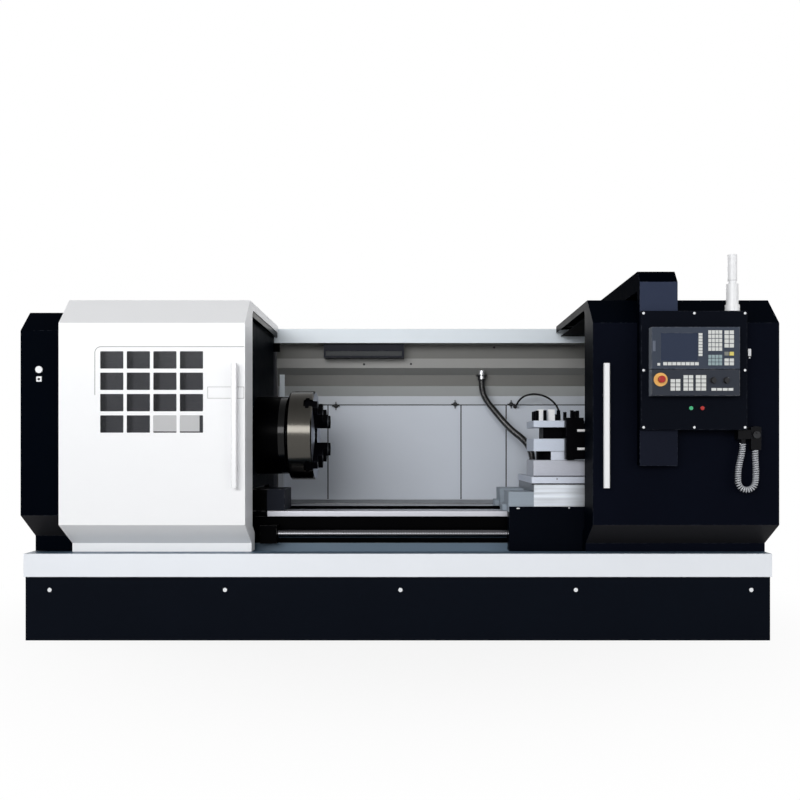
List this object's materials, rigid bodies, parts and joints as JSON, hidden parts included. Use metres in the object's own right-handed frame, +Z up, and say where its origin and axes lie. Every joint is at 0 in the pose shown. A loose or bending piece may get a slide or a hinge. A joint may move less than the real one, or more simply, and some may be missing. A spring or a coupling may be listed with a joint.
{
  "type": "CNC turning lathe",
  "caption": "Flat-bed CNC turning lathe with sliding guard doors, jaw chuck, turning tool post, tailstock, chip tray and a hanging operator panel.",
  "frame": {"origin": "on the floor under the middle of the base", "axes": "+X along the bed from headstock to tailstock, +Y to the rear, +Z up"},
  "size_m": [4.3, 1.7977, 2.182],
  "materials": {
    "white_paint": "satin",
    "black_paint": "satin",
    "grey_paint": "satin",
    "steel_ground": "satin",
    "steel_dark": "satin",
    "iron": "matte",
    "aluminium": "satin",
    "white_plastic": "satin",
    "panel_plastic": "matte",
    "key_plastic": "matte",
    "screen_plastic": "gloss",
    "red_plastic": "gloss",
    "green_plastic": "gloss",
    "black_plastic": "matte",
    "hose_rubber": "satin",
    "cord_rubber": "satin",
    "window_glass": "gloss"
  },
  "bodies": {
    "frame": {"base_stand": "black_paint", "chip_tray": "white_paint", "bed": "iron", "headstock": "steel_dark", "spindle_bearings": "steel_ground", "end_cover": "black_paint", "cover_fittings": "white_plastic", "tail_cover": "black_paint", "rear_guard": "grey_paint", "rear_panels": "white_paint", "work_lamp": "black_paint", "main_motor": "iron", "drive_belt": "hose_rubber", "z_servo": "black_paint", "screw_brackets": "iron", "electric_cabinet": "black_paint", "control_arm": "black_paint", "control_box": "black_paint", "cover_screws": "steel_ground", "operator_panels": "panel_plastic", "screen": "screen_plastic", "panel_keys": "key_plastic", "signal_lamp": "white_plastic", "hose_fitting": "black_plastic", "carriage_hose": "hose_rubber", "tool_cable": "hose_rubber", "pendant_fittings": "black_plastic", "pendant": "black_plastic", "pendant_cord": "cord_rubber"},
    "left_door_body": {"left_door": "white_paint", "left_window": "window_glass", "left_handle": "aluminium"},
    "right_door_body": {"right_door": "black_paint", "right_handle": "aluminium"},
    "cabinet_door_body": {"cabinet_door": "black_paint"},
    "spindle_body": {"spindle": "steel_ground", "chuck_body": "steel_ground"},
    "jaw_1_body": {"chuck_jaw_1": "steel_dark"},
    "jaw_2_body": {"chuck_jaw_2": "steel_dark"},
    "jaw_3_body": {"chuck_jaw_3": "steel_dark"},
    "jaw_4_body": {"chuck_jaw_4": "steel_dark"},
    "motor_pulley_body": {"motor_pulley": "iron"},
    "z_screw_body": {"z_screw": "steel_ground"},
    "carriage": {"saddle": "iron", "apron": "black_paint"},
    "x_screw_body": {"x_screw": "steel_ground"},
    "cross_slide_body": {"cross_slide": "steel_ground", "post_base": "iron"},
    "tool_head": {"tool_post": "steel_ground", "tooling": "steel_dark"},
    "tailstock_body": {"tailstock": "iron"},
    "handwheel_body": {"tail_handwheel": "steel_ground"},
    "quill_body": {"quill": "steel_ground"},
    "centre_body": {"live_centre": "steel_ground"},
    "estop_body": {"estop_knob": "red_plastic"},
    "green_body": {"green_button": "green_plastic"},
    "red_body": {"red_button": "red_plastic"},
    "feed_body": {"feed_knob": "black_plastic"},
    "speed_body": {"speed_knob": "black_plastic"},
    "dial_body": {"pendant_dial": "black_plastic"}
  },
  "joints": [
    {"name": "left_door_slide", "type": "slide", "parent": "frame", "child": "left_door_body", "axis": [1, 0, 0], "range_m": [0, 0.979]},
    {"name": "right_door_slide", "type": "slide", "parent": "frame", "child": "right_door_body", "axis": [1, 0, 0], "range_m": [-0.979, 0]},
    {"name": "cabinet_door_hinge", "type": "hinge", "parent": "frame", "child": "cabinet_door_body", "pos_m": [-2.138, 0.744, 1.175], "axis": [0, 0, 1], "range_deg": [0, 110]},
    {"name": "spindle_spin", "type": "hinge", "parent": "frame", "child": "spindle_body", "pos_m": [-0.7, -0.21, 1.189], "axis": [1, 0, 0], "continuous": true},
    {"name": "jaw_1_slide", "type": "slide", "parent": "spindle_body", "child": "jaw_1_body", "axis": [0, 0.7071, 0.7071], "range_m": [-0.03, 0.02]},
    {"name": "jaw_2_slide", "type": "slide", "parent": "spindle_body", "child": "jaw_2_body", "axis": [0, -0.7071, 0.7071], "range_m": [-0.03, 0.02]},
    {"name": "jaw_3_slide", "type": "slide", "parent": "spindle_body", "child": "jaw_3_body", "axis": [0, -0.7071, -0.7071], "range_m": [-0.03, 0.02]},
    {"name": "jaw_4_slide", "type": "slide", "parent": "spindle_body", "child": "jaw_4_body", "axis": [0, 0.7071, -0.7071], "range_m": [-0.03, 0.02]},
    {"name": "motor_pulley_spin", "type": "hinge", "parent": "frame", "child": "motor_pulley_body", "pos_m": [-1.95, 0.22, 1], "axis": [1, 0, 0], "continuous": true},
    {"name": "z_screw_spin", "type": "hinge", "parent": "frame", "child": "z_screw_body", "pos_m": [0.5, -0.47, 0.589], "axis": [1, 0, 0], "range_deg": [-39600, 3600]},
    {"name": "carriage_slide", "type": "slide", "parent": "frame", "child": "carriage", "axis": [1, 0, 0], "range_m": [-1.1, 0.1], "deforming": ["carriage_hose", "tool_cable"]},
    {"name": "x_screw_spin", "type": "hinge", "parent": "carriage", "child": "x_screw_body", "pos_m": [0.987, -0.2, 0.854], "axis": [0, 1, 0], "range_deg": [-2880, 12960]},
    {"name": "cross_slide_move", "type": "slide", "parent": "carriage", "child": "cross_slide_body", "axis": [0, 1, 0], "range_m": [-0.04, 0.18]},
    {"name": "tool_head_index", "type": "hinge", "parent": "cross_slide_body", "child": "tool_head", "pos_m": [0.975, -0.313, 1.089], "axis": [0, 0, 1], "continuous": true},
    {"name": "tailstock_slide", "type": "slide", "parent": "frame", "child": "tailstock_body", "axis": [1, 0, 0], "range_m": [-0.3, 0.03]},
    {"name": "handwheel_spin", "type": "hinge", "parent": "tailstock_body", "child": "handwheel_body", "pos_m": [2.061, -0.21, 1.189], "axis": [1, 0, 0], "range_deg": [-12960, 0]},
    {"name": "quill_slide", "type": "slide", "parent": "tailstock_body", "child": "quill_body", "axis": [1, 0, 0], "range_m": [-0.18, 0]},
    {"name": "centre_spin", "type": "hinge", "parent": "quill_body", "child": "centre_body", "pos_m": [1.56, -0.21, 1.189], "axis": [1, 0, 0], "continuous": true},
    {"name": "estop_push", "type": "slide", "parent": "frame", "child": "estop_body", "axis": [0, 1, 0], "range_m": [0, 0.005], "stiffness_N_per_m": 1500, "springref_m": -0.001},
    {"name": "green_push", "type": "slide", "parent": "frame", "child": "green_body", "axis": [0, 1, 0], "range_m": [0, 0.003], "stiffness_N_per_m": 900, "springref_m": -0.001},
    {"name": "red_push", "type": "slide", "parent": "frame", "child": "red_body", "axis": [0, 1, 0], "range_m": [0, 0.003], "stiffness_N_per_m": 900, "springref_m": -0.001},
    {"name": "feed_turn", "type": "hinge", "parent": "frame", "child": "feed_body", "pos_m": [1.72368, -1.006, 1.47552], "axis": [0, 1, 0], "range_deg": [-135, 135]},
    {"name": "speed_turn", "type": "hinge", "parent": "frame", "child": "speed_body", "pos_m": [1.79469, -1.006, 1.47552], "axis": [0, 1, 0], "range_deg": [-135, 135]},
    {"name": "dial_spin", "type": "hinge", "parent": "frame", "child": "dial_body", "pos_m": [1.994, -0.917, 1.18], "axis": [0, 1, 0], "continuous": true}
  ],
  "couplings": [
    {"joint": "motor_pulley_spin", "follows": "spindle_spin", "ratio": 1.6},
    {"joint": "z_screw_spin", "follows": "carriage_slide", "rad_per_m": 628.32},
    {"joint": "x_screw_spin", "follows": "cross_slide_move", "rad_per_m": 1256.6},
    {"joint": "quill_slide", "follows": "handwheel_spin", "m_per_rad": 0.00079577}
  ]
}
